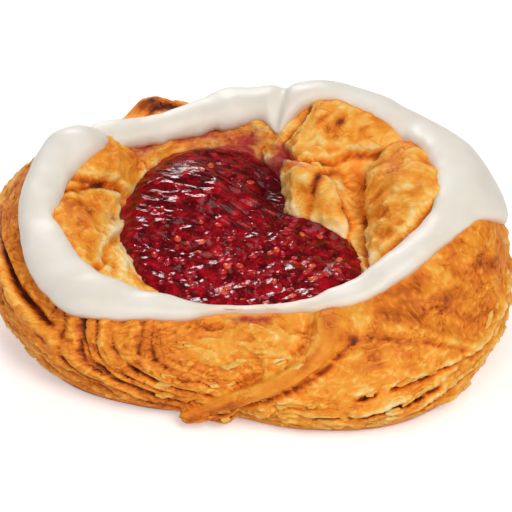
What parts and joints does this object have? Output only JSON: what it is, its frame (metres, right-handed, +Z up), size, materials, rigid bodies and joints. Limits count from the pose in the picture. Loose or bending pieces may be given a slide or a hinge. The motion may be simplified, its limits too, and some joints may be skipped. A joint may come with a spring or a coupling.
{
  "type": "raspberry danish pastry",
  "caption": "Oval laminated pastry with a raised rim, a well filled with seeded red jam and a ribbon of white icing along the rim.",
  "frame": {"origin": "centre of the bounding box at the underside, which rests on the surface", "axes": "+X to the right-hand end along the length, +Z up, the low front of the rim faces -Y"},
  "size_m": [0.1122, 0.0942, 0.0342],
  "materials": {
    "golden_crust": "baked laminated dough, golden with browned ridges, satin to matte",
    "raspberry_jam": "wet glossy dark red jam with paler seeds",
    "sugar_icing": "set sugar icing, warm white, satin"
  },
  "bodies": {
    "root": {"dough": "golden_crust", "jam": "raspberry_jam", "icing": "sugar_icing"}
  },
  "joints": []
}
